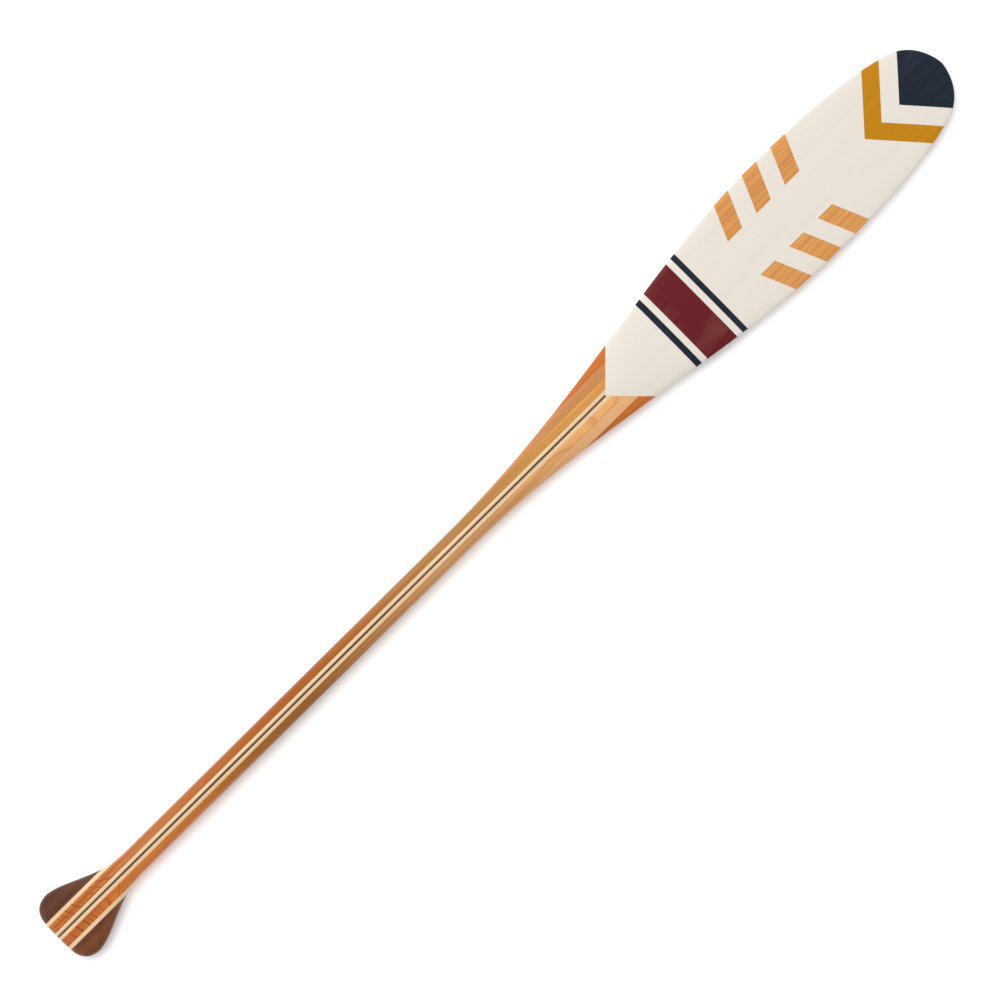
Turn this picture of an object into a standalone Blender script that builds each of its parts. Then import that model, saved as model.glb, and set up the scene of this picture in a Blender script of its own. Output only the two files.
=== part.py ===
"""A laminated wooden canoe paddle with a palm grip and a long narrow blade.

The paddle lies on its back. +X runs along the shaft towards the blade's tip, +Y across the blade and
+Z out of its face. The origin is under the middle of its length, on the surface that it lies on.

Thirteen strips and boards, glued edge to edge along planes square to Y, are carved to one outer form.
That form is written here as a few curves: the outline's half width along the length, the half
thickness along the middle, and the two powers that shape each cross section.
"""

import math

import bmesh
import bpy

# Overall sizes, in metres
OVERALL_LENGTH = 1.448
SHAFT_WIDTH = 0.0315
SHAFT_THICKNESS = 0.029

# The blade's outline, measured back from its tip
BLADE_WIDTH = 0.142
WIDEST_FROM_TIP = 0.252
FLARE_FROM_TIP = 0.801
FLARE_BIAS = 0.88
TIP_RADIUS = 0.383 * BLADE_WIDTH
TIP_ARC_ANGLE = math.radians(75.7)
# A slight point stands this far proud of the tip's arc, and dies away over about this run
TIP_POINT = 0.00145
TIP_POINT_RUN = 0.0024

# The blade's thickness along the middle
BLADE_THICKNESS = 0.010
EVEN_FROM_TIP = 0.330
TIP_THICKNESS = 0.007

# The palm grip, measured from its free end
GRIP_WIDTH = 0.090
GRIP_THICKNESS = 0.024
GRIP_WIDEST_FROM_END = 0.0245
GRIP_NECK_FROM_END = 0.125
GRIP_END_ROUNDING = 0.014
GRIP_OUTLINE_POWERS = (2.05, 4.4)
GRIP_NECK_BIAS = 0.8

# The powers p and q of a cross section, whose height at y is (1 - y^p)^(1/q) of its middle
SHAFT_SECTION = (2.0, 2.0)
THROAT_SECTION = (1.6, 1.9)
BLADE_SECTION = (2.2, 3.2)
GRIP_SECTION = (2.4, 2.0)

# Widths of the laminations across the paddle, and of the glue line between two of them
CORE_STRIP = 0.0025
CORE_STRIPE = 0.0038
SHAFT_BOARD_SPARE = 0.00045
BLADE_STRIP = 0.0113
GRIP_STRIPE = 0.0045
GLUE_LINE = 0.0003

# A lamination that runs out in the outline is cut off where it is this narrow
FEATHER = 0.0003
# The rounded ends are sanded flat this far in
END_FLAT = 0.00005

# Steps of the mesh
GRIP_END_STEPS = 5
GRIP_NECK_STEP = 0.010
THROAT_STEP = 0.030
BLADE_STEP = 0.030
TIP_STEPS = 8
LEAST_STEP = 0.00005
RIM_CROWDING = 2.2
MERGE_WITHIN = 0.000001
SHARP_EDGE = math.radians(40)

WALNUT = "#5f3f2c"
MAPLE = "#efdab0"
SHAFT_CEDAR = "#c98a4e"
TAN_CEDAR = "#dfa163"
RED_CEDAR = "#c4683a"
WOOD_ROUGHNESS = 0.42

GRIP_END = -OVERALL_LENGTH / 2
BLADE_TIP = OVERALL_LENGTH / 2
GRIP_WIDEST = GRIP_END + GRIP_WIDEST_FROM_END
BLADE_WIDEST = BLADE_TIP - WIDEST_FROM_TIP
MID_SHAFT = (GRIP_END + GRIP_NECK_FROM_END + BLADE_TIP - FLARE_FROM_TIP) / 2


def clear_scene():
    for obj in list(bpy.data.objects):
        bpy.data.objects.remove(obj, do_unlink=True)


def ease(t):
    """0 to 1 along half a wave of a cosine, level at both ends."""
    return (1 - math.cos(math.pi * min(max(t, 0.0), 1.0))) / 2


def mix(a, b, t):
    return a + (b - a) * t


def through(start, middle, end, t):
    """A parabola through three values, at t = 0, 1/2 and 1."""
    return start * (1 - t) * (1 - 2 * t) + middle * 4 * t * (1 - t) + end * t * (2 * t - 1)


def blade_side(u, arc_end, arc_end_width):
    """The long swelling side, which leaves the tip's arc along its tangent and ends level."""
    run = WIDEST_FROM_TIP - arc_end
    t = (u - arc_end) / run
    rise = run / math.tan(TIP_ARC_ANGLE) * t * (1 - t) ** 2
    return mix(arc_end_width, BLADE_WIDTH / 2, t * t * (3 - 2 * t)) + rise


def blade_half_width(u):
    """Half the blade's width at u from its tip: a slightly pointed round, a swelling side, a hollow flare."""
    u = max(u, 0.0)
    arc_end = TIP_POINT + TIP_RADIUS * (1 - math.cos(TIP_ARC_ANGLE))
    if u <= arc_end:
        into_arc = u - TIP_POINT * (1 - math.exp(-u / TIP_POINT_RUN))
        return math.sqrt(2 * TIP_RADIUS * into_arc - into_arc**2)
    if u <= WIDEST_FROM_TIP:
        return blade_side(u, arc_end, TIP_RADIUS * math.sin(TIP_ARC_ANGLE))
    t = (u - WIDEST_FROM_TIP) / (FLARE_FROM_TIP - WIDEST_FROM_TIP)
    return mix(BLADE_WIDTH / 2, SHAFT_WIDTH / 2, ease(min(t, 1.0) ** FLARE_BIAS))


def grip_half_width(g):
    """Half the grip's width at g from its end: a crowned end with round corners, then a hollow neck."""
    if g < GRIP_WIDEST_FROM_END:
        along, across = GRIP_OUTLINE_POWERS
        share = 1 - (1 - g / GRIP_WIDEST_FROM_END) ** along
        return GRIP_WIDTH / 2 * max(share, 0.0) ** (1 / across)
    t = (g - GRIP_WIDEST_FROM_END) / (GRIP_NECK_FROM_END - GRIP_WIDEST_FROM_END)
    return mix(GRIP_WIDTH / 2, SHAFT_WIDTH / 2, ease(min(t, 1.0) ** GRIP_NECK_BIAS))


def half_width(x):
    if x > MID_SHAFT:
        return blade_half_width(BLADE_TIP - x)
    return grip_half_width(x - GRIP_END)


def rounded_end(distance, length, powers):
    """The share of full thickness at this distance from an end that rounds over in this length."""
    p, q = powers
    left = 1 - min(max(distance, END_FLAT) / length, 1.0)
    return (1 - left**p) ** (1 / q)


def blade_spine(u):
    """Half the thickness along the middle at u from the tip, and the section's powers there."""
    t = ease((FLARE_FROM_TIP - u) / (FLARE_FROM_TIP - EVEN_FROM_TIP))
    plate = mix(TIP_THICKNESS, BLADE_THICKNESS, min(u / EVEN_FROM_TIP, 1.0))
    spine = mix(SHAFT_THICKNESS, plate, t) / 2
    sections = zip(SHAFT_SECTION, THROAT_SECTION, BLADE_SECTION)
    powers = [through(shaft, throat, blade, t) for shaft, throat, blade in sections]
    return spine * rounded_end(u, TIP_RADIUS, BLADE_SECTION), powers


def grip_spine(g):
    """The same at g from the grip's end."""
    t = ease((GRIP_NECK_FROM_END - g) / (GRIP_NECK_FROM_END - GRIP_WIDEST_FROM_END))
    spine = mix(SHAFT_THICKNESS, GRIP_THICKNESS, t) / 2
    powers = [mix(shaft, grip, t) for shaft, grip in zip(SHAFT_SECTION, GRIP_SECTION)]
    return spine * rounded_end(g, GRIP_END_ROUNDING, SHAFT_SECTION), powers


def half_thickness(x, y):
    """Half the thickness of the carved form at x and y."""
    if x > MID_SHAFT:
        spine, (p, q) = blade_spine(BLADE_TIP - x)
    else:
        spine, (p, q) = grip_spine(x - GRIP_END)
    share = min(abs(y) / half_width(x), 1.0)
    return spine * (1 - share**p) ** (1 / q)


def where_wide(width, narrow, wide):
    """The x between a narrow place and a wide one at which the outline's half width is this."""
    for _ in range(50):
        middle = (narrow + wide) / 2
        if half_width(middle) < width:
            narrow = middle
        else:
            wide = middle
    return wide


def crossings(width, in_grip, in_blade):
    """Each x where the outline passes this half width, in the grip, in the blade or in both."""
    spans = []
    if in_grip:
        spans += [(GRIP_END, GRIP_WIDEST), (MID_SHAFT, GRIP_WIDEST)]
    if in_blade:
        spans += [(MID_SHAFT, BLADE_WIDEST), (BLADE_TIP, BLADE_WIDEST)]
    return [
        where_wide(width, narrow, wide)
        for narrow, wide in spans
        if half_width(narrow) < width < half_width(wide)
    ]


def even_steps(start, end, step):
    count = max(1, round(abs(end - start) / step))
    return [mix(start, end, i / count) for i in range(count + 1)]


def crowded_steps(start, end, count):
    """Steps that crowd towards the start by a cubic rule."""
    return [mix(start, end, (i / count) ** 3) for i in range(count + 1)]


def stations():
    """The x of every ring of the mesh, close together only where the form curves."""
    grip_round = GRIP_END + GRIP_END_ROUNDING
    tip_round = BLADE_TIP - TIP_RADIUS
    found = crowded_steps(GRIP_END, grip_round, GRIP_END_STEPS)
    found += even_steps(grip_round, GRIP_END + GRIP_NECK_FROM_END, GRIP_NECK_STEP)
    found += even_steps(BLADE_TIP - FLARE_FROM_TIP, BLADE_WIDEST, THROAT_STEP)
    found += even_steps(BLADE_WIDEST, tip_round, BLADE_STEP)
    found += crowded_steps(BLADE_TIP, tip_round, TIP_STEPS)
    return found


def rings_of(inner, outer, in_grip, in_blade):
    """The x of each ring of the lamination from inner to outer, with one where its outer edge is met."""
    reach = inner + FEATHER if inner > 0 else outer
    ends = crossings(reach, in_grip, in_blade)
    found = []
    for x in crossings(outer, in_grip, in_blade) + ends + stations():
        inside = ends[0] <= x <= ends[-1]
        if inside and all(abs(x - other) >= LEAST_STEP for other in found):
            found.append(x)
    return sorted(found)


def wood(name, colour):
    """A varnished wood of this colour, given as an sRGB hex value."""
    material = bpy.data.materials.new(name)
    material.use_nodes = True
    parts = [int(colour[i : i + 2], 16) / 255 for i in (1, 3, 5)]
    linear = [p / 12.92 if p <= 0.04045 else ((p + 0.055) / 1.055) ** 2.4 for p in parts]
    shader = material.node_tree.nodes["Principled BSDF"]
    shader.inputs["Base Color"].default_value = (*linear, 1)
    shader.inputs["Roughness"].default_value = WOOD_ROUGHNESS
    shader.inputs["Metallic"].default_value = 0
    material.diffuse_color = (*linear, 1)
    return material


def section_ring(x, inner, outer, columns):
    """The closed outline of a lamination's section at x: along its face, then back along its underside."""
    reach = min(outer, half_width(x))
    shares = [1 - (1 - j / columns) ** RIM_CROWDING for j in range(columns + 1)]
    face = [(y, half_thickness(x, y)) for y in (mix(inner, reach, s) for s in shares)]
    return face + [(y, -z) for y, z in reversed(face)]


def lamination(name, inner, outer, columns, material, parent, side=1, in_grip=True, in_blade=True):
    """One strip or board between the glue planes at y = inner and y = outer, carved to the form.

    side is 1 to the left of the blade's direction and -1 to the right. The object stands at its
    inner glue plane.
    """
    bm = bmesh.new()
    rings = []
    origin = max(inner, 0.0)
    for x in rings_of(inner, outer, in_grip, in_blade):
        ring = section_ring(x, inner, outer, columns)
        rings.append([bm.verts.new((x, side * (y - origin), z)) for y, z in ring])
    for before, after in zip(rings, rings[1:]):
        for i in range(len(before)):
            bm.faces.new((before[i - 1], before[i], after[i], after[i - 1]))
    bm.faces.new(rings[0])
    bm.faces.new(rings[-1])
    bmesh.ops.remove_doubles(bm, verts=bm.verts, dist=MERGE_WITHIN)
    bmesh.ops.recalc_face_normals(bm, faces=bm.faces)
    mesh = bpy.data.meshes.new(name)
    bm.to_mesh(mesh)
    bm.free()
    mesh.materials.append(material)
    mesh.shade_smooth()
    mesh.set_sharp_from_angle(angle=SHARP_EDGE)
    obj = bpy.data.objects.new(name, mesh)
    bpy.context.collection.objects.link(obj)
    obj.parent = parent
    obj.location = (0, side * origin, 0)
    return obj


def middle_plane():
    """An empty on the paddle's middle plane, at the height that puts the core strip on the surface."""
    empty = bpy.data.objects.new("paddle", None)
    empty.location = (0, 0, half_thickness(MID_SHAFT, CORE_STRIP / 2))
    bpy.context.collection.objects.link(empty)
    return empty


def build():
    clear_scene()
    paddle = middle_plane()
    walnut = wood("walnut", WALNUT)
    maple = wood("maple", MAPLE)
    shaft_cedar = wood("shaft_cedar", SHAFT_CEDAR)
    tan_cedar = wood("tan_cedar", TAN_CEDAR)
    red_cedar = wood("red_cedar", RED_CEDAR)

    core = CORE_STRIP / 2
    stripe = core + GLUE_LINE
    board = core + CORE_STRIPE + GLUE_LINE
    board_edge = SHAFT_WIDTH / 2 + SHAFT_BOARD_SPARE
    beside_board = board_edge + GLUE_LINE
    blade_strip_edge = board_edge + BLADE_STRIP
    grip_stripe_edge = board_edge + GRIP_STRIPE

    lamination("core_strip", -core, core, 1, walnut, paddle)
    for hand, side in (("left", 1), ("right", -1)):
        lamination(f"core_stripe_{hand}", stripe, core + CORE_STRIPE, 1, maple, paddle, side)
        lamination(f"shaft_board_{hand}", board, board_edge, 5, shaft_cedar, paddle, side)
        lamination(
            f"blade_strip_{hand}",
            beside_board,
            blade_strip_edge,
            3,
            tan_cedar,
            paddle,
            side,
            in_grip=False,
        )
        lamination(
            f"blade_panel_{hand}",
            blade_strip_edge + GLUE_LINE,
            BLADE_WIDTH,
            7,
            red_cedar,
            paddle,
            side,
            in_grip=False,
        )
        lamination(
            f"grip_stripe_{hand}",
            beside_board,
            grip_stripe_edge,
            2,
            maple,
            paddle,
            side,
            in_blade=False,
        )
        lamination(
            f"grip_wing_{hand}",
            grip_stripe_edge + GLUE_LINE,
            GRIP_WIDTH,
            6,
            walnut,
            paddle,
            side,
            in_blade=False,
        )


build()
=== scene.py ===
"""A laminated wooden canoe paddle with a painted blade, lying on its back on a white floor.

The paddle's strips and boards are carved finely here to the same form as the CAD solids, and each one
replaces its node. The painted pattern is laid over the blade as thin coats with a thickness of their own.
"""

import math

import bmesh
import bpy
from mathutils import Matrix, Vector


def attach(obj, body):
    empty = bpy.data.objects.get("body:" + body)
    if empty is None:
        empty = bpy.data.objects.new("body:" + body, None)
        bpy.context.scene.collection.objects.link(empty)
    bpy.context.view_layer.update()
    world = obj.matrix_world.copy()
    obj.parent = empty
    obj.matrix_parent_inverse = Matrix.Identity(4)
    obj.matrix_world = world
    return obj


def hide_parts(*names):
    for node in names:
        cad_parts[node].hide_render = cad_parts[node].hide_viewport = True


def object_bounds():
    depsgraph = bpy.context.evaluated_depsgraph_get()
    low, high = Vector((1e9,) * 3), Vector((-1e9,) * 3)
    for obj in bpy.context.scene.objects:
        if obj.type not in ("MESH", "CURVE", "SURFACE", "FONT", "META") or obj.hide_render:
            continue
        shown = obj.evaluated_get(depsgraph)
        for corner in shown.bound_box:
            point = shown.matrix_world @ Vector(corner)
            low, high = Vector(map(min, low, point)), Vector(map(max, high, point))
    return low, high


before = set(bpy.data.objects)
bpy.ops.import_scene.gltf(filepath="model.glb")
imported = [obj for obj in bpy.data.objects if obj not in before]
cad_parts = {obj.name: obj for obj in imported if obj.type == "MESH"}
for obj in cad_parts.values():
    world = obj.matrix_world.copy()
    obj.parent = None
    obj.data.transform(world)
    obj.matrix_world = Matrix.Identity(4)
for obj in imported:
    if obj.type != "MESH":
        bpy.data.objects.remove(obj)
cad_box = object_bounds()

# The carved form, in metres, as in the CAD
OVERALL_LENGTH = 1.448
SHAFT_WIDTH = 0.0315
SHAFT_THICKNESS = 0.029
BLADE_WIDTH = 0.142
WIDEST_FROM_TIP = 0.252
FLARE_FROM_TIP = 0.801
FLARE_BIAS = 0.88
TIP_RADIUS = 0.383 * BLADE_WIDTH
TIP_ARC_ANGLE = math.radians(75.7)
# A slight point stands this far proud of the tip's arc, and dies away over about this run
TIP_POINT = 0.00145
TIP_POINT_RUN = 0.0024
BLADE_THICKNESS = 0.010
EVEN_FROM_TIP = 0.330
TIP_THICKNESS = 0.007
GRIP_WIDTH = 0.090
GRIP_THICKNESS = 0.024
GRIP_WIDEST_FROM_END = 0.0245
GRIP_NECK_FROM_END = 0.125
GRIP_END_ROUNDING = 0.014
GRIP_OUTLINE_POWERS = (2.05, 4.4)
GRIP_NECK_BIAS = 0.8
SHAFT_SECTION = (2.0, 2.0)
THROAT_SECTION = (1.6, 1.9)
BLADE_SECTION = (2.2, 3.2)
GRIP_SECTION = (2.4, 2.0)
# The grip ends in a small flat, this far before its rounding would close
END_FLAT = 0.00005
# Right at the tip the form is hardly wider than the flat along its middle, which takes this share of it
FLAT_AT_TIP = 0.89

GRIP_END = -OVERALL_LENGTH / 2
BLADE_TIP = OVERALL_LENGTH / 2
GRIP_WIDEST = GRIP_END + GRIP_WIDEST_FROM_END
BLADE_WIDEST = BLADE_TIP - WIDEST_FROM_TIP
MID_SHAFT = (GRIP_END + GRIP_NECK_FROM_END + BLADE_TIP - FLARE_FROM_TIP) / 2

# The form is flat this far out from its middle, as in the CAD
CORE_FLAT = 0.00125
# Where one lamination is glued to the next, measured from the middle of the paddle
CORE_EDGE = 0.0014
STRIPE_EDGE = 0.0052
BOARD_EDGE = 0.01635
BLADE_STRIP_EDGE = 0.02765
GRIP_STRIPE_EDGE = 0.02085
# A lamination that feathers out ends where this much of its width is left
FEATHER = 0.0002

# Each glue line shows as a fine groove in the varnish, at most this share of its lamination's width
GROOVE_WIDTH = 0.00018
GROOVE_DEPTH = 0.00008
GROOVE_SHARE = 0.25

# Thicknesses of paint. Each coat sinks a little into what it covers
PAINT_DEPTH = 0.00015
COLOUR_COAT = 0.00004
PAINT_HOLD = 0.00001
# The wood lies lower by the paint's depth this far from the tip, and rises to its own form by there
COVERED_FROM_TIP = 0.600
BARE_FROM_TIP = 0.790

# The painted pattern. Each line meets the middle of the blade at a distance from its tip, and leans towards
# the tip by so many metres for each metre that it runs out to the edge.
CHEVRON_LEAN = 1 / math.tan(math.radians(48))
DASH_LEAN = math.tan(math.radians(23.5))
BAND_LEAN = 0.0
THROAT_LEAN = 1.0
NAVY_TIP = (0.0, 0.0704)
MUSTARD_CHEVRON = (0.0994, 0.1271)
TIP_SIDE_LINE = (0.3785, 0.3857)
BURGUNDY_BAND = (0.3937, 0.4365)
THROAT_SIDE_LINE = (0.4445, 0.4523)
THROAT_POINT = 0.5520
DASHES_FROM_MIDDLE = 0.027
DASHES_AT_INNER_END = ((0.2072, 0.2307), (0.2539, 0.2774), (0.3008, 0.3243))

# Steps of the meshes. A crowding above 1 brings them closer together towards an end or a rim
GRIP_END_STEPS = 14
GRIP_STEP = 0.003
SHAFT_STEP = 0.020
BLADE_STEP = 0.005
TIP_STEPS = 22
END_CROWDING = 3.0
LEAST_STEP = 0.00002
RIM_CROWDING = 2.2
MERGE_WITHIN = 0.0000005
SHARP_EDGE = math.radians(35)
PAINT_STEP = 0.0035
PAINT_TIP_STEPS = 34
# The paint's grid has columns within the dashes' inner ends and outside them. Where the blade is narrow, the
# inner ones take this share of it.
INNER_COLUMNS = 8
OUTER_COLUMNS = 20
INNER_SHARE = 0.45
# A run that is too long by less than this share of a step gets no further step
STEP_SLACK = 0.001
# How often a span is halved to find where the wood is so wide, and where a painted line meets the rim
WIDTH_HALVINGS = 50
RIM_HALVINGS = 40

# Each lamination to the left and right of the core: its name, its node, its inner and outer edge, the columns
# of its mesh, its slot, and whether it is in the grip and in the blade
CORE_COLUMNS = 4
SIDE_LAMINATIONS = (
    ("maple_stripe", "core_stripe", CORE_EDGE, STRIPE_EDGE, 5, "maple", True, True),
    ("cedar_board", "shaft_board", STRIPE_EDGE, BOARD_EDGE, 12, "shaft_cedar", True, True),
    ("tan_cedar_strip", "blade_strip", BOARD_EDGE, BLADE_STRIP_EDGE, 10, "tan_cedar", False, True),
    ("red_cedar_panel", "blade_panel", BLADE_STRIP_EDGE, BLADE_WIDTH, 22, "red_cedar", False, True),
    ("grip_maple", "grip_stripe", BOARD_EDGE, GRIP_STRIPE_EDGE, 5, "maple", True, False),
    ("grip_walnut", "grip_wing", GRIP_STRIPE_EDGE, GRIP_WIDTH, 18, "walnut", True, False),
)

# The paddle's middle plane, half its greatest thickness above what it lies on
MIDDLE = (cad_box[0].z + cad_box[1].z) / 2

# Satin varnish has the shine of clear resin. Enamel has less, because its pigment dulls it.
VARNISH = {"IOR": 1.5, "Specular_IOR_Level": 0.28}
ENAMEL = {"IOR": 1.48, "Specular_IOR_Level": 0.25}
VARNISH_ROUGHNESS = (0.34, 0.46)
ENAMEL_ROUGHNESS = (0.42, 0.54)
# The relief of grain and of brush marks, in metres. Late wood stands out by this share of the grain's
GRAIN_RELIEF = {"Strength": 0.25, "Distance": 0.00006}
BRUSH_RELIEF = {"Strength": 0.2, "Distance": 0.00005}
LATE_WOOD_RELIEF = 0.6

# Patterns, each (length, width) in millimetres. The real ones here are too fine to show in the render, so
# each is drawn as coarse as it needs to be: wood fibres are under 0.05 mm wide, maple's flecks about
# 0.1 mm, walnut's pores about 0.2 mm, and the marks of a brush's bristles about 0.3 mm.
CEDAR_FIBRES = (60, 0.9)
MAPLE_FIBRES = (45, 0.6)
WALNUT_FIBRES = (40, 0.8)
MAPLE_FLECKS = (5, 0.5)
WALNUT_PORES = (7, 0.35)
BRISTLE_MARKS = (80, 1.6)
# These are coarse enough to show at their own size: bands of colour in a board, strokes of a brush, and the
# patches in which growth rings wander
CEDAR_BANDS = (190, 4.5)
WALNUT_BANDS = (110, 5.0)
STROKE_LENGTH = 90
WANDER_PATCH = (240, 80)

# Widths of growth rings in millimetres. The outer panels' rings are broad
MAPLE_RING = 1.3
WALNUT_RING = 3.4
SHAFT_CEDAR_RING = 2.3
TAN_CEDAR_RING = 1.9
RED_CEDAR_RINGS = {"left": 5.0, "right": 7.5}

# Late wood starts to darken at one share of a ring and is darkest at the next
LATE_WOOD = (0.62, 0.90)
# Good and poor years make rings broader and narrower. Their noise moves on by this much at each ring, and
# shifts it by up to this many rings.
YEARS_STEP = 0.31
YEARS_SHIFT = 1.8
# How strongly rings show. Each ring of cedar has a strength of its own, from the faintest up to 1
FAINTEST_RING = 0.4
MAPLE_RING_STRENGTH = 0.30
WALNUT_RING_STRENGTH = 0.3

# Most of a noise lies within this span, round its middle
NOISE_SPAN = (0.3, 0.7)
NOISE_MIDDLE = (0.5, 0.5, 0.5)
NOISE_ROUGHNESS = 0.55
# Where in its noise each pattern starts to show and shows in full, and how strong it is then
CEDAR_BAND_SPAN = (0.42, 0.68)
CEDAR_BAND_STRENGTH = 0.5
WALNUT_BAND_SPAN = (0.36, 0.72)
WALNUT_BAND_STRENGTH = 0.7
FLECK_SPAN = (0.60, 0.72)
FLECK_STRENGTH = 0.35
PORE_SPAN = (0.60, 0.68)
PORE_STRENGTH = 0.8
STROKE_SPAN = (0.445, 0.725)
# Fibres make the wood this much darker and lighter
FIBRE_TONE = (0.91, 1.08)

# Each seed moves a noise by these multiples of itself along X, Y and Z
STREAK_SEED_STEPS = (1.0, 1.7, 2.3)
RING_SEED_STEPS = (1.0, 1.3, 1.9)
# The second and the third noise of a material take seeds this much higher than its first
SECOND_NOISE = 3
THIRD_NOISE = 5
# Patterns are laid out in millimetres, this many to the metre
MILLIMETRES = 1000.0

# The woods' colours, pale and deep, and the pith lines that their rings run round, as (y, z) in millimetres
MAPLE_PALE = "#e2c49e"
MAPLE_DEEP = "#cba174"
CORE_WALNUT = ("#6c5138", "#4c3827")
WING_WALNUT = {"left": ("#603622", "#43251a"), "right": ("#7c4424", "#532d19")}
TAN_CEDAR = {"left": ("#bf834f", "#ad703e"), "right": ("#dfaa78", "#cb9361")}
RED_CEDAR = ("#c46e2a", "#a0501f")
DASH_CEDAR = ("#d29351", "#b67337")
MAPLE_PITH = (34.0, -22.0)
CORE_PITH = (20.0, -30.0)
WING_PITHS = {"left": (18.0, -30.0), "right": (-18.0, -30.0)}
SHAFT_PITHS = {"left": (18.0, -25.0), "right": (-3.0, -25.0)}
TAN_PITHS = {"left": (70.0, -25.0), "right": (-70.0, -25.0)}
RED_PITHS = {"left": (58.0, -26.0), "right": (-190.0, -70.0)}

# The shaft boards change colour along the paddle: x in millimetres, then pale and deep. The change is partly
# the cedar's own tone and partly painted shade: both boards' dark stretch round x = -340 is painted shade.
SHAFT_CEDAR_AND_SHADE = {
    "left": (
        (-700, "#bf6d2b", "#783111"),
        (-600, "#ba6e37", "#853e14"),
        # Painted shade: this stretch is darker than the cedar's own tone
        (-340, "#a35509", "#733104"),
        (-60, "#a9773d", "#885628"),
        (200, "#d29549", "#ad6e2f"),
    ),
    "right": (
        (-700, "#b46229", "#712c11"),
        (-600, "#dc8233", "#9b4c12"),
        # Painted shade: this stretch is darker than the cedar's own tone
        (-340, "#9e6218", "#763f11"),
        (-60, "#d19961", "#ab723c"),
        (200, "#e7aa68", "#c3854d"),
    ),
}
# The cedar outside them changes from here, past the bare throat, to there, where the dashes start
THROAT_CEDAR_ENDS = 240
DASH_CEDAR_STARTS = 390

# Where the shaft boards' rings go down in the wood: from x, to x and how far, in millimetres
GRIP_CUT = (-595.0, -775.0, 36.0)
THROAT_CUT = (60.0, 230.0, 8.0)

# The studio. The floor is lit slightly past white and glows a little, so that it stays white
FLOOR_SIDE = 24.0
PAPER = "#faf9f8"
PAPER_ROUGHNESS = 0.9
PAPER_SHINE = 0.1
ROOM_WHITE = "#fbfcff"
WALL_LIGHT = 1.02
CEILING_LIGHT = 0.56
LEFT_WALL_GAIN = 0.25
FLOOR_GLOW = 0.17
WINDOW_LIGHT = 1.7
WINDOW_ANGLE = math.radians(44)
WINDOW_DIRECTION = (0.10, 0.52, 1.0)

# The camera, straight above. Lens and sensor are in millimetres, and the picture is this many metres wide
LENS = 100
SENSOR = 36
FRAME_WIDTH = 1.17
BLADE_RISES = math.radians(44.7)


def ease(t):
    """0 to 1 along half a wave of a cosine, level at both ends."""
    return (1 - math.cos(math.pi * min(max(t, 0.0), 1.0))) / 2


def mix(a, b, t):
    """a at t = 0, b at t = 1, and in proportion between."""
    return a + (b - a) * t


def through(start, middle, end, t):
    """A parabola through three values, at t = 0, 1/2 and 1."""
    return start * (1 - t) * (1 - 2 * t) + middle * 4 * t * (1 - t) + end * t * (2 * t - 1)


def blade_side(u, arc_end, arc_end_width):
    """Half the blade's width at u from its tip, between the end of the tip's arc and the widest place."""
    run = WIDEST_FROM_TIP - arc_end
    t = (u - arc_end) / run
    rise = run / math.tan(TIP_ARC_ANGLE) * t * (1 - t) ** 2
    return mix(arc_end_width, BLADE_WIDTH / 2, t * t * (3 - 2 * t)) + rise


def blade_half_width(u):
    """Half the blade's width at u from its tip: a slightly pointed round, a swelling side, a hollow flare."""
    u = max(u, 0.0)
    arc_end = TIP_POINT + TIP_RADIUS * (1 - math.cos(TIP_ARC_ANGLE))
    if u <= arc_end:
        into_arc = u - TIP_POINT * (1 - math.exp(-u / TIP_POINT_RUN))
        return math.sqrt(2 * TIP_RADIUS * into_arc - into_arc**2)
    if u <= WIDEST_FROM_TIP:
        return blade_side(u, arc_end, TIP_RADIUS * math.sin(TIP_ARC_ANGLE))
    t = (u - WIDEST_FROM_TIP) / (FLARE_FROM_TIP - WIDEST_FROM_TIP)
    return mix(BLADE_WIDTH / 2, SHAFT_WIDTH / 2, ease(min(t, 1.0) ** FLARE_BIAS))


def grip_half_width(g):
    """Half the grip's width at g from its end: a crowned end with round corners, then a hollow neck."""
    if g < GRIP_WIDEST_FROM_END:
        along, across = GRIP_OUTLINE_POWERS
        share = 1 - (1 - g / GRIP_WIDEST_FROM_END) ** along
        return GRIP_WIDTH / 2 * max(share, 0.0) ** (1 / across)
    t = (g - GRIP_WIDEST_FROM_END) / (GRIP_NECK_FROM_END - GRIP_WIDEST_FROM_END)
    return mix(GRIP_WIDTH / 2, SHAFT_WIDTH / 2, ease(min(t, 1.0) ** GRIP_NECK_BIAS))


def half_width(x, inset):
    """Half the width of the outline at x, or of one that lies this far inside it at the blade."""
    if x > MID_SHAFT:
        return max(blade_half_width(BLADE_TIP - x - inset) - inset, 0.0)
    return grip_half_width(x - GRIP_END)


def rounded_end(distance, length, powers):
    """The share of full thickness at this distance from an end that rounds over in this length."""
    p, q = powers
    left = 1 - min(max(distance, 0.0) / length, 1.0)
    return (1 - left**p) ** (1 / q)


def blade_spine(u):
    """Half the thickness along the middle at u from the tip, and the section's powers there."""
    t = ease((FLARE_FROM_TIP - u) / (FLARE_FROM_TIP - EVEN_FROM_TIP))
    plate = mix(TIP_THICKNESS, BLADE_THICKNESS, min(u / EVEN_FROM_TIP, 1.0))
    spine = mix(SHAFT_THICKNESS, plate, t) / 2
    sections = zip(SHAFT_SECTION, THROAT_SECTION, BLADE_SECTION)
    powers = [through(shaft, throat, blade, t) for shaft, throat, blade in sections]
    return spine * rounded_end(u, TIP_RADIUS, BLADE_SECTION), powers


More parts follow.
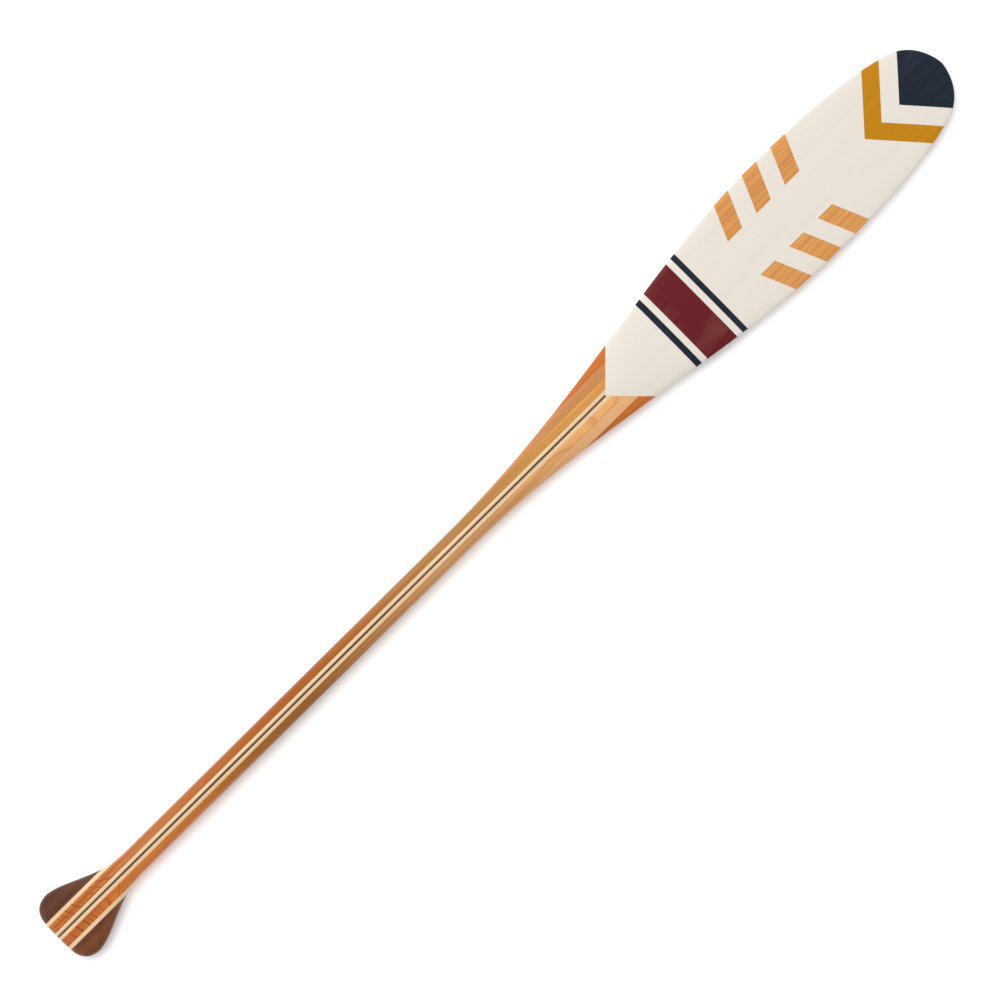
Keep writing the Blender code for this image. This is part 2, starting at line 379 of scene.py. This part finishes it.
def grip_spine(g):
    """Half the thickness along the middle at g from the grip's end, and the section's powers there."""
    t = ease((GRIP_NECK_FROM_END - g) / (GRIP_NECK_FROM_END - GRIP_WIDEST_FROM_END))
    spine = mix(SHAFT_THICKNESS, GRIP_THICKNESS, t) / 2
    powers = [mix(shaft, grip, t) for shaft, grip in zip(SHAFT_SECTION, GRIP_SECTION)]
    return spine * rounded_end(max(g, END_FLAT), GRIP_END_ROUNDING, SHAFT_SECTION), powers


def half_thickness(x, y, inset):
    """Half the thickness of the carved form at x and y, or of the form this far inside it."""
    if x > MID_SHAFT:
        spine, (p, q) = blade_spine(BLADE_TIP - x - inset)
        spine -= min(inset, spine / 2)
    else:
        spine, (p, q) = grip_spine(x - GRIP_END)
    rim = half_width(x, inset)
    flat = min(CORE_FLAT, FLAT_AT_TIP * rim)
    share = min(max(abs(y), flat) / rim, 1.0) if rim > 0 else 1.0
    return spine * (1 - share**p) ** (1 / q)


def wood_inset(x):
    """How far the wood lies inside the form at x, to leave room for the paint."""
    covered = (BARE_FROM_TIP - (BLADE_TIP - x)) / (BARE_FROM_TIP - COVERED_FROM_TIP)
    return PAINT_DEPTH * ease(covered)


def where_wide(width, narrow, wide):
    """The x between a narrow place and a wide one at which the wood's half width is this."""
    for _ in range(WIDTH_HALVINGS):
        middle = (narrow + wide) / 2
        if half_width(middle, wood_inset(middle)) < width:
            narrow = middle
        else:
            wide = middle
    return wide


def crossings(width, in_grip, in_blade):
    """Each x where the wood's outline passes this half width, in the grip, in the blade or in both."""
    spans = []
    if in_grip:
        spans += [(GRIP_END, GRIP_WIDEST), (MID_SHAFT, GRIP_WIDEST)]
    if in_blade:
        spans += [(MID_SHAFT, BLADE_WIDEST), (BLADE_TIP, BLADE_WIDEST)]
    return [
        where_wide(width, narrow, wide)
        for narrow, wide in spans
        if half_width(narrow, wood_inset(narrow)) < width < half_width(wide, wood_inset(wide))
    ]


def even_steps(start, end, step):
    """Even steps from start to end, about as long as this step or shorter."""
    count = max(1, math.ceil(abs(end - start) / step - STEP_SLACK))
    return [mix(start, end, i / count) for i in range(count + 1)]


def crowded_steps(start, end, count):
    """Steps that crowd towards the start."""
    return [mix(start, end, (i / count) ** END_CROWDING) for i in range(count + 1)]


def stations():
    """The x of every ring of a lamination, close together only where the form curves."""
    grip_round = GRIP_END + GRIP_END_ROUNDING
    grip_neck = GRIP_END + GRIP_NECK_FROM_END
    flare = BLADE_TIP - FLARE_FROM_TIP
    tip_round = BLADE_TIP - TIP_RADIUS
    found = crowded_steps(GRIP_END, grip_round, GRIP_END_STEPS)
    found += even_steps(grip_round, grip_neck, GRIP_STEP)
    found += even_steps(grip_neck, flare, SHAFT_STEP)
    found += even_steps(flare, tip_round, BLADE_STEP)
    found += crowded_steps(BLADE_TIP - PAINT_DEPTH, tip_round, TIP_STEPS)
    return found


def rings_of(inner, outer, in_grip, in_blade):
    """The x of each ring of the lamination from inner to outer, with one where its outer edge is met."""
    reach = inner + FEATHER if inner > 0 else outer
    ends = crossings(reach, in_grip, in_blade)
    found = []
    for x in crossings(outer, in_grip, in_blade) + ends + stations():
        inside = ends[0] <= x <= ends[-1]
        if inside and all(abs(x - other) >= LEAST_STEP for other in found):
            found.append(x)
    return sorted(found)


def section_ring(x, inner, outer, columns):
    """The closed outline of a lamination's section at x: along its face, then back along its underside."""
    inset = wood_inset(x)
    rim = half_width(x, inset)
    reach = min(outer, rim)
    groove = min(GROOVE_WIDTH, (reach - inner) * GROOVE_SHARE)
    shares = [1 - (1 - j / columns) ** RIM_CROWDING for j in range(columns + 1)]
    across = [inner] + [mix(inner + groove, reach - groove, s) for s in shares] + [reach]
    heights = [half_thickness(x, y, inset) for y in across]
    heights[0] = max(heights[0] - GROOVE_DEPTH, 0.0)
    if reach < rim:
        heights[-1] = max(heights[-1] - GROOVE_DEPTH, 0.0)
    face = list(zip(across, heights))
    return face + [(y, -z) for y, z in reversed(face)]


def finished_piece(name, bm, material):
    """The mesh as a piece of the paddle, on its middle plane, that takes its finish from a slot."""
    bmesh.ops.remove_doubles(bm, verts=bm.verts, dist=MERGE_WITHIN)
    bmesh.ops.dissolve_degenerate(bm, edges=bm.edges, dist=MERGE_WITHIN)
    bmesh.ops.recalc_face_normals(bm, faces=bm.faces)
    mesh = bpy.data.meshes.new(name)
    bm.to_mesh(mesh)
    bm.free()
    mesh.materials.append(material)
    mesh.shade_smooth()
    mesh.set_sharp_from_angle(angle=SHARP_EDGE)
    piece = bpy.data.objects.new(name, mesh)
    bpy.context.collection.objects.link(piece)
    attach(piece, "root")
    return piece


def lamination(name, node, inner, outer, columns, material, side=1, in_grip=True, in_blade=True):
    """One strip or board between two glue planes, carved to the form.

    side is 1 to the left and -1 to the right.
    """
    bm = bmesh.new()
    rings = []
    for x in rings_of(inner, outer, in_grip, in_blade):
        ring = section_ring(x, inner, outer, columns)
        rings.append([bm.verts.new((x, side * y, MIDDLE + z)) for y, z in ring])
    for before, after in zip(rings, rings[1:]):
        for i in range(len(before)):
            bm.faces.new((before[i - 1], before[i], after[i], after[i - 1]))
    bm.faces.new(rings[0])
    bm.faces.new(rings[-1])
    piece = finished_piece(name, bm, material)
    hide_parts(node)


def lean_at(distance):
    """How much a line of the pattern leans that meets the middle this far from the tip."""
    first_dash = DASHES_AT_INNER_END[0][0] + DASH_LEAN * DASHES_FROM_MIDDLE
    last_dash = DASHES_AT_INNER_END[-1][1] + DASH_LEAN * DASHES_FROM_MIDDLE
    known = (
        (NAVY_TIP[0], CHEVRON_LEAN),
        (MUSTARD_CHEVRON[1], CHEVRON_LEAN),
        (first_dash, DASH_LEAN),
        (last_dash, DASH_LEAN),
        (TIP_SIDE_LINE[0], BAND_LEAN),
        (THROAT_SIDE_LINE[1], BAND_LEAN),
        (THROAT_POINT, THROAT_LEAN),
    )
    for (start, lean), (end, next_lean) in zip(known, known[1:]):
        if distance <= end:
            return mix(lean, next_lean, (distance - start) / (end - start))
    return THROAT_LEAN


def dashes():
    """The two lines that bound each dash, as distances from the tip along the middle."""
    shift = DASH_LEAN * DASHES_FROM_MIDDLE
    return [(near + shift, far + shift) for near, far in DASHES_AT_INNER_END]


def paint_rows():
    """The distance from the tip of every line of the paint's grid, all boundaries among them."""
    edges = [*MUSTARD_CHEVRON, *TIP_SIDE_LINE, *BURGUNDY_BAND, *THROAT_SIDE_LINE, THROAT_POINT]
    edges = sorted(edges + [edge for dash in dashes() for edge in dash])
    found = [0.0]
    found += [row for row in crowded_steps(0.0, NAVY_TIP[1], PAINT_TIP_STEPS) if row >= LEAST_STEP]
    for edge in edges:
        found += even_steps(found[-1], edge, PAINT_STEP)[1:]
    return found


def rim_of_row(distance, lean, inset):
    """How far from the middle a line of the pattern meets the blade's edge."""
    near, far = 0.0, BLADE_WIDTH
    for _ in range(RIM_HALVINGS):
        middle = (near + far) / 2
        if half_width(BLADE_TIP - distance + lean * middle, inset) > middle:
            near = middle
        else:
            far = middle
    return near


def paint_loop(distance, inset):
    """A closed line of points round the blade, over its face from left to right and back underneath."""
    lean = lean_at(distance)
    rim = rim_of_row(distance, lean, inset)
    inner = min(DASHES_FROM_MIDDLE, INNER_SHARE * rim)
    across = [inner * j / INNER_COLUMNS for j in range(INNER_COLUMNS)]
    left_over = [(1 - j / OUTER_COLUMNS) ** RIM_CROWDING for j in range(OUTER_COLUMNS + 1)]
    across += [rim - (rim - inner) * share for share in left_over]
    places = [(y, 1) for y in reversed(across)] + [(-y, 1) for y in across[1:]]
    places += [(-y, -1) for y in reversed(across[:-1])] + [(y, -1) for y in across[1:-1]]
    points = []
    for y, face in places:
        x = BLADE_TIP - distance + lean * abs(y)
        z = 0.0 if abs(y) == rim else face * half_thickness(x, y, inset)
        points.append((min(x, cad_box[1].x - inset), y, MIDDLE + z))
    return points


def loop_columns():
    """For each place in a paint loop, how many columns it is from the middle."""
    columns = INNER_COLUMNS + OUTER_COLUMNS
    face = [*range(columns, -1, -1), *range(1, columns + 1)]
    return face + [*range(columns - 1, -1, -1), *range(1, columns)]


def coat(name, taken, outside, inside, material):
    """A closed coat of paint over the cells of the grid that are taken, between two depths in the form."""
    rows, columns = paint_rows(), loop_columns()
    count = len(columns)
    cells = {
        (i, j)
        for i in range(len(rows) - 1)
        for j in range(count)
        if taken((rows[i] + rows[i + 1]) / 2, min(columns[j], columns[(j + 1) % count]))
    }
    bm = bmesh.new()
    skins = []
    for depth in (outside, inside):
        used = sorted({row for i, _ in cells for row in (i, i + 1)})
        skins.append({i: [bm.verts.new(point) for point in paint_loop(rows[i], depth)] for i in used})

    def corner(skin, i, j):
        return skins[skin][i][j % count]

    for i, j in cells:
        for skin in (0, 1):
            bm.faces.new([corner(skin, a, b) for a, b in ((i, j), (i, j + 1), (i + 1, j + 1), (i + 1, j))])
        sides = {
            (i - 1, j): ((i, j), (i, j + 1)),
            (i + 1, j): ((i + 1, j), (i + 1, j + 1)),
            (i, (j - 1) % count): ((i, j), (i + 1, j)),
            (i, (j + 1) % count): ((i, j + 1), (i + 1, j + 1)),
        }
        for neighbour, (a, b) in sides.items():
            if neighbour not in cells and neighbour[0] >= 0:
                bm.faces.new((corner(0, *a), corner(0, *b), corner(1, *b), corner(1, *a)))
    bmesh.ops.delete(bm, geom=[v for v in bm.verts if not v.link_faces], context="VERTS")
    finished_piece(name, bm, material)


def linear(colour):
    """An sRGB hex colour as linear RGBA."""
    parts = [int(colour[i : i + 2], 16) / 255 for i in (1, 3, 5)]
    return (*(p / 12.92 if p <= 0.04045 else ((p + 0.055) / 1.055) ** 2.4 for p in parts), 1.0)


def add(tree, kind, inputs=None, take=0, **settings):
    """Adds a node with its settings, gives its inputs values or links, and returns one output.

    An input goes by its name or by its number, since a node can have several of one name.
    """
    node = tree.nodes.new(kind)
    for name, value in settings.items():
        setattr(node, name, value)
    for name, value in (inputs or {}).items():
        if isinstance(value, bpy.types.NodeSocket):
            tree.links.new(value, node.inputs[name])
        else:
            node.inputs[name].default_value = value
    return node.outputs[take]


def new_finish(name, **settings):
    """A material of one Principled shader with plain settings, and each point's place in millimetres."""
    material = bpy.data.materials.new(name)
    material.use_nodes = True
    tree = material.node_tree
    shader = tree.nodes["Principled BSDF"]
    for key, value in settings.items():
        shader.inputs[key.replace("_", " ")].default_value = value
    metres = add(tree, "ShaderNodeTexCoord", take="Object")
    place = add(tree, "ShaderNodeVectorMath", {0: metres, "Scale": MILLIMETRES}, operation="SCALE")
    return material, tree, shader, place


def streaks(tree, place, long, wide, seed, detail=3.0):
    """Noise drawn out along the paddle, in patches this long and wide in millimetres."""
    shift = tuple(seed * step for step in STREAK_SEED_STEPS)
    stretched = add(
        tree,
        "ShaderNodeVectorMath",
        {0: place, 1: (1 / long, 1 / wide, 1 / wide), 2: shift},
        operation="MULTIPLY_ADD",
    )
    return add(
        tree,
        "ShaderNodeTexNoise",
        {"Vector": stretched, "Scale": 1.0, "Detail": detail, "Roughness": NOISE_ROUGHNESS},
    )


def growth_rings(tree, place, ring, pith, wander, seed):
    """Growth rings this wide in millimetres round a pith line that runs beside the paddle.

    The first value is 1 on the dark late wood that ends a ring and fades to 0 in its early wood, and the
    second is a number of the ring's own, from 0 to 1.
    """
    long, wide = WANDER_PATCH
    shift = tuple(seed * step for step in RING_SEED_STEPS)
    slow = add(
        tree,
        "ShaderNodeVectorMath",
        {0: place, 1: (1 / long, 1 / wide, 1 / wide), 2: shift},
        operation="MULTIPLY_ADD",
    )
    bend = add(tree, "ShaderNodeTexNoise", {"Vector": slow, "Scale": 1.0, "Detail": 2.0}, take="Color")
    bend = add(tree, "ShaderNodeVectorMath", {0: bend, 1: NOISE_MIDDLE}, operation="SUBTRACT")
    strayed = add(
        tree, "ShaderNodeVectorMath", {0: bend, 1: (0, wander, wander), 2: place}, operation="MULTIPLY_ADD"
    )
    from_pith = add(tree, "ShaderNodeVectorMath", {0: strayed, 1: (0, *pith)}, operation="SUBTRACT")
    square = add(tree, "ShaderNodeVectorMath", {0: from_pith, 1: (0, 1, 1)}, operation="MULTIPLY")
    radius = add(tree, "ShaderNodeVectorMath", {0: square}, take="Value", operation="LENGTH")
    count = add(tree, "ShaderNodeMath", {0: radius, 1: ring}, operation="DIVIDE")
    years = add(tree, "ShaderNodeMath", {0: count, 1: YEARS_STEP, 2: seed}, operation="MULTIPLY_ADD")
    good = add(tree, "ShaderNodeTexNoise", {"W": years, "Scale": 1.0, "Detail": 1.0}, noise_dimensions="1D")
    count = add(tree, "ShaderNodeMath", {0: good, 1: YEARS_SHIFT, 2: count}, operation="MULTIPLY_ADD")
    along = add(tree, "ShaderNodeMath", {0: count}, operation="FRACT")
    number = add(tree, "ShaderNodeMath", {0: count}, operation="FLOOR")
    own = add(tree, "ShaderNodeTexWhiteNoise", {"W": number}, noise_dimensions="1D")
    starts, darkest = LATE_WOOD
    darkens = add(
        tree,
        "ShaderNodeMapRange",
        {"Value": along, "From Min": starts, "From Max": darkest},
        interpolation_type="SMOOTHSTEP",
    )
    ends = add(
        tree,
        "ShaderNodeMapRange",
        {"Value": along, "From Min": darkest, "From Max": 1.0, "To Min": 1.0, "To Max": 0.0},
    )
    late = add(tree, "ShaderNodeMath", {0: darkens, 1: ends}, operation="MULTIPLY")
    return late, own


def varnished_cedar(name, stretches, ring, pith, wander, seed, sinks=()):
    """Western red cedar, planed, sanded and varnished satin.

    It shows dark lines lengthwise where its growth rings stand on edge, long flames where they lie flat and
    arcs where the carving cuts steeply across them, over soft streaks of lighter and redder wood.

    stretches are (x in mm, pale, deep) from the grip to the tip. sinks are (from x, to x, mm): the rings go
    down there.
    """
    material, tree, shader, place = new_finish(name, **VARNISH)
    x = add(tree, "ShaderNodeSeparateXYZ", {0: place})
    cut = place
    for start, end, depth in sinks:
        sunk = add(
            tree,
            "ShaderNodeMapRange",
            {"Value": x, "From Min": start, "From Max": end, "To Max": depth},
            interpolation_type="SMOOTHSTEP",
        )
        sunk = add(tree, "ShaderNodeCombineXYZ", {"Z": sunk})
        cut = add(tree, "ShaderNodeVectorMath", {0: cut, 1: sunk})
    late, own = growth_rings(tree, cut, ring, pith, wander, seed)
    pale, deep = linear(stretches[0][1]), linear(stretches[0][2])
    for (start, _, _), (end, next_pale, next_deep) in zip(stretches, stretches[1:]):
        share = add(
            tree,
            "ShaderNodeMapRange",
            {"Value": x, "From Min": start, "From Max": end},
            interpolation_type="SMOOTHSTEP",
        )
        pale = add(tree, "ShaderNodeMix", {0: share, 6: pale, 7: linear(next_pale)}, take=2, data_type="RGBA")
        deep = add(tree, "ShaderNodeMix", {0: share, 6: deep, 7: linear(next_deep)}, take=2, data_type="RGBA")
    fibres = streaks(tree, place, *CEDAR_FIBRES, seed)
    bands = streaks(tree, place, *CEDAR_BANDS, seed + SECOND_NOISE, detail=1.0)
    strength = add(
        tree, "ShaderNodeMath", {0: own, 1: 1 - FAINTEST_RING, 2: FAINTEST_RING}, operation="MULTIPLY_ADD"
    )
    line = add(tree, "ShaderNodeMath", {0: late, 1: strength}, operation="MULTIPLY")
    starts, full = CEDAR_BAND_SPAN
    band = add(
        tree,
        "ShaderNodeMapRange",
        {"Value": bands, "From Min": starts, "From Max": full, "To Max": CEDAR_BAND_STRENGTH},
    )
    darkness = add(tree, "ShaderNodeMath", {0: line, 1: band}, operation="MAXIMUM")
    colour = add(tree, "ShaderNodeMix", {0: darkness, 6: pale, 7: deep}, take=2, data_type="RGBA")
    varnish_over(tree, shader, colour, fibres, late)
    return material


def varnish_over(tree, shader, colour, fibres, late):
    """Gives the wood its colour and its varnished surface.

    Fibres lie lighter and darker and make the sheen uneven. Hard late wood stands a little proud, because
    sanding wears it less.
    """
    low, high = NOISE_SPAN
    darkest, palest = FIBRE_TONE
    tone = add(
        tree,
        "ShaderNodeMapRange",
        {"Value": fibres, "From Min": low, "From Max": high, "To Min": darkest, "To Max": palest},
    )
    colour = add(tree, "ShaderNodeHueSaturation", {"Value": tone, "Color": colour})
    smoothest, roughest = VARNISH_ROUGHNESS
    rough = add(
        tree,
        "ShaderNodeMapRange",
        {"Value": fibres, "From Min": low, "From Max": high, "To Min": smoothest, "To Max": roughest},
    )
    height = add(
        tree, "ShaderNodeMath", {0: late, 1: LATE_WOOD_RELIEF, 2: fibres}, operation="MULTIPLY_ADD"
    )
    bump = add(tree, "ShaderNodeBump", {**GRAIN_RELIEF, "Height": height})
    tree.links.new(colour, shader.inputs["Base Color"])
    tree.links.new(rough, shader.inputs["Roughness"])
    tree.links.new(bump, shader.inputs["Normal"])


def varnished_maple(name, seed):
    """Hard maple, planed and varnished satin: pale, close and even, with faint lines and short flecks."""
    material, tree, shader, place = new_finish(name, **VARNISH)
    late, _ = growth_rings(tree, place, MAPLE_RING, MAPLE_PITH, wander=1.5, seed=seed)
    fibres = streaks(tree, place, *MAPLE_FIBRES, seed)
    flecks = streaks(tree, place, *MAPLE_FLECKS, seed + THIRD_NOISE, detail=1.0)
    starts, full = FLECK_SPAN
    fleck = add(
        tree,
        "ShaderNodeMapRange",
        {"Value": flecks, "From Min": starts, "From Max": full, "To Max": FLECK_STRENGTH},
    )
    line = add(tree, "ShaderNodeMath", {0: late, 1: MAPLE_RING_STRENGTH}, operation="MULTIPLY")
    darkness = add(tree, "ShaderNodeMath", {0: line, 1: fleck}, operation="MAXIMUM")
    colour = add(
        tree,
        "ShaderNodeMix",
        {0: darkness, 6: linear(MAPLE_PALE), 7: linear(MAPLE_DEEP)},
        take=2,
        data_type="RGBA",
    )
    varnish_over(tree, shader, colour, fibres, late)
    return material


def varnished_walnut(name, pale, deep, pith, seed):
    """Black walnut, planed and varnished satin: brown with darker wavy figure and short dark open pores."""
    material, tree, shader, place = new_finish(name, **VARNISH)
    late, own = growth_rings(tree, place, WALNUT_RING, pith, wander=9.0, seed=seed)
    fibres = streaks(tree, place, *WALNUT_FIBRES, seed)
    bands = streaks(tree, place, *WALNUT_BANDS, seed + SECOND_NOISE, detail=2.0)
    pores = streaks(tree, place, *WALNUT_PORES, seed + THIRD_NOISE, detail=1.0)
    starts, full = PORE_SPAN
    pore = add(
        tree,
        "ShaderNodeMapRange",
        {"Value": pores, "From Min": starts, "From Max": full, "To Max": PORE_STRENGTH},
    )
    starts, full = WALNUT_BAND_SPAN
    band = add(
        tree,
        "ShaderNodeMapRange",
        {"Value": bands, "From Min": starts, "From Max": full, "To Max": WALNUT_BAND_STRENGTH},
    )
    line = add(tree, "ShaderNodeMath", {0: late, 1: own}, operation="MULTIPLY")
    darkness = add(
        tree,
        "ShaderNodeMath",
        {0: line, 1: WALNUT_RING_STRENGTH, 2: band},
        operation="MULTIPLY_ADD",
        use_clamp=True,
    )
    darkness = add(tree, "ShaderNodeMath", {0: darkness, 1: pore}, operation="MAXIMUM")
    colour = add(
        tree, "ShaderNodeMix", {0: darkness, 6: linear(pale), 7: linear(deep)}, take=2, data_type="RGBA"
    )
    varnish_over(tree, shader, colour, fibres, late)
    return material


def brushed_enamel(name, colour, streak, strength, seed, fine=0.35, broad=9.0):
    """Satin enamel, brushed on lengthwise in thin coats: even colour, a soft sheen and faint brush marks.

    fine is how much the bristles' own marks show, and broad is how wide in millimetres a thinner stroke is.
    """
    material, tree, shader, place = new_finish(name, **ENAMEL)
    marks = streaks(tree, place, *BRISTLE_MARKS, seed)
    strokes = streaks(tree, place, STROKE_LENGTH, broad, seed + SECOND_NOISE, detail=2.0)
    both = add(tree, "ShaderNodeMath", {0: marks, 1: fine, 2: strokes}, operation="MULTIPLY_ADD")
    starts, full = STROKE_SPAN
    share = add(
        tree,
        "ShaderNodeMapRange",
        {"Value": both, "From Min": starts + fine / 2, "From Max": full + fine / 2, "To Max": strength},
    )
    tone = add(
        tree,
        "ShaderNodeMix",
        {0: share, 6: linear(colour), 7: linear(streak)},
        take=2,
        data_type="RGBA",
    )
    low, high = NOISE_SPAN
    smoothest, roughest = ENAMEL_ROUGHNESS
    rough = add(
        tree,
        "ShaderNodeMapRange",
        {"Value": marks, "From Min": low, "From Max": high, "To Min": smoothest, "To Max": roughest},
    )
    bump = add(tree, "ShaderNodeBump", {**BRUSH_RELIEF, "Height": marks})
    tree.links.new(tone, shader.inputs["Base Color"])
    tree.links.new(rough, shader.inputs["Roughness"])
    tree.links.new(bump, shader.inputs["Normal"])
    return material


def side_woods(hand, side):
    """The finish of each lamination on one side of the core, by the lamination's name."""
    maple = varnished_maple(f"varnished_maple_stripe_{hand}", seed=4.0 + side)
    # The shaft boards' colours carry painted shade round x = -340, in both boards
    cedar = varnished_cedar(
        f"varnished_cedar_board_with_painted_shade_{hand}",
        SHAFT_CEDAR_AND_SHADE[hand],
        SHAFT_CEDAR_RING,
        SHAFT_PITHS[hand],
        wander=3.0,
        seed=7.0 + side,
        sinks=(GRIP_CUT, THROAT_CUT) if hand == "right" else (GRIP_CUT,),
    )
    tan = varnished_cedar(
        f"varnished_tan_cedar_{hand}",
        ((THROAT_CEDAR_ENDS, *TAN_CEDAR[hand]), (DASH_CEDAR_STARTS, *DASH_CEDAR)),
        TAN_CEDAR_RING,
        TAN_PITHS[hand],
        wander=4.0,
        seed=11.0 + side,
    )
    red = varnished_cedar(
        f"varnished_red_cedar_{hand}",
        ((THROAT_CEDAR_ENDS, *RED_CEDAR), (DASH_CEDAR_STARTS, *DASH_CEDAR)),
        RED_CEDAR_RINGS[hand],
        RED_PITHS[hand],
        wander=8.0,
        seed=15.0 + side,
    )
    walnut = varnished_walnut(
        f"varnished_walnut_wing_{hand}", *WING_WALNUT[hand], WING_PITHS[hand], seed=19.0 + side
    )
    return {
        "maple_stripe": maple,
        "cedar_board": cedar,
        "tan_cedar_strip": tan,
        "red_cedar_panel": red,
        "grip_maple": maple,
        "grip_walnut": walnut,
    }


def wooden_paddle():
    """The thirteen laminations: the core strip, and six on each side of it."""
    core_walnut = varnished_walnut("varnished_walnut_core", *CORE_WALNUT, CORE_PITH, seed=2.1)
    lamination("walnut_core", "core_strip", -CORE_EDGE, CORE_EDGE, CORE_COLUMNS, core_walnut)
    for hand, side in (("left", 1), ("right", -1)):
        woods = side_woods(hand, side)
        for name, node, inner, outer, columns, slot, in_grip, in_blade in SIDE_LAMINATIONS:
            lamination(
                f"{name}_{hand}",
                f"{node}_{hand}",
                inner,
                outer,
                columns,
                woods[name],
                side,
                in_grip,
                in_blade,
            )


def painted_pattern():
    """The cream coat with its bare dashes, and the coloured coats over it."""
    cream = brushed_enamel("brushed_enamel_cream", "#dcd4c8", "#d8cec2", strength=0.3, seed=23.0)
    navy = brushed_enamel("brushed_enamel_navy", "#151e2a", "#262d3b", strength=0.5, seed=29.0)
    # The burgundy's broad lighter, greyer streaks are partly brush strokes and partly painted sheen
    burgundy = brushed_enamel(
        "brushed_enamel_burgundy", "#60141a", "#743c36", strength=0.85, seed=31.0, fine=0.1, broad=24.0
    )
    mustard = brushed_enamel("brushed_enamel_mustard", "#b87b02", "#ad7202", strength=0.7, seed=37.0)
    bare = dashes()

    def outside_dashes(distance, column):
        return column < INNER_COLUMNS or not any(near < distance < far for near, far in bare)

    def between(lines):
        return lambda distance, column: lines[0] < distance < lines[1]

    coat("cream_coat", outside_dashes, COLOUR_COAT, PAINT_DEPTH + PAINT_HOLD, cream)
    for name, lines, enamel, slot in (
        ("navy_tip", NAVY_TIP, navy, "navy_paint"),
        ("mustard_chevron", MUSTARD_CHEVRON, mustard, "mustard_paint"),
        ("navy_line_tip_side", TIP_SIDE_LINE, navy, "navy_paint"),
        ("burgundy_band", BURGUNDY_BAND, burgundy, "burgundy_paint"),
        ("navy_line_throat_side", THROAT_SIDE_LINE, navy, "navy_paint"),
    ):
        coat(name, between(lines), 0.0, COLOUR_COAT + PAINT_HOLD, enamel)


def studio():
    """A seamless white floor in a white room that is lit from a window to the paddle's left.

    The floor glows a little, the wall on the left is the brightest and the ceiling is dimmer than the walls.
    """
    mesh = bpy.data.meshes.new("floor")
    side = FLOOR_SIDE / 2
    corners = [(-side, -side, 0), (side, -side, 0), (side, side, 0), (-side, side, 0)]
    mesh.from_pydata(corners, [], [(0, 1, 2, 3)])
    floor = bpy.data.objects.new("floor", mesh)
    bpy.context.collection.objects.link(floor)
    paper = bpy.data.materials.new("white_seamless_paper")
    paper.use_nodes = True
    shader = paper.node_tree.nodes["Principled BSDF"]
    shader.inputs["Base Color"].default_value = linear(PAPER)
    shader.inputs["Roughness"].default_value = PAPER_ROUGHNESS
    shader.inputs["Specular IOR Level"].default_value = PAPER_SHINE
    shader.inputs["Emission Color"].default_value = linear(PAPER)
    shader.inputs["Emission Strength"].default_value = FLOOR_GLOW
    mesh.materials.append(paper)

    world = bpy.data.worlds.new("white_studio")
    world.use_nodes = True
    tree = world.node_tree
    direction = add(tree, "ShaderNodeTexCoord", take="Generated")
    height = add(tree, "ShaderNodeSeparateXYZ", {0: direction}, take="Z")
    left = add(tree, "ShaderNodeSeparateXYZ", {0: direction}, take="Y")
    evenly = add(
        tree, "ShaderNodeMapRange", {"Value": height, "To Min": WALL_LIGHT, "To Max": CEILING_LIGHT}
    )
    brightness = add(
        tree, "ShaderNodeMath", {0: left, 1: LEFT_WALL_GAIN, 2: evenly}, operation="MULTIPLY_ADD"
    )
    background = tree.nodes["Background"]
    background.inputs["Color"].default_value = linear(ROOM_WHITE)
    tree.links.new(brightness, background.inputs["Strength"])
    bpy.context.scene.world = world

    light = bpy.data.lights.new("window_light", "SUN")
    light.energy = WINDOW_LIGHT
    light.angle = WINDOW_ANGLE
    window = bpy.data.objects.new("window_light", light)
    window.rotation_euler = Vector(WINDOW_DIRECTION).to_track_quat("Z", "Y").to_euler()
    # Varnish and enamel show no reflection of the window, as through a polarising filter
    window.visible_glossy = False
    bpy.context.collection.objects.link(window)


def overhead_camera():
    """Straight above the paddle, turned so that the blade points up to the right as in the photograph."""
    lens = bpy.data.cameras.new("camera")
    lens.lens = LENS
    lens.sensor_width = SENSOR
    camera = bpy.data.objects.new("camera", lens)
    camera.location = (0, 0, FRAME_WIDTH * LENS / SENSOR)
    camera.rotation_euler = (0, 0, -BLADE_RISES)
    bpy.context.collection.objects.link(camera)
    bpy.context.scene.camera = camera
    bpy.context.scene.view_settings.view_transform = "Standard"


wooden_paddle()
painted_pattern()
studio()
overhead_camera()
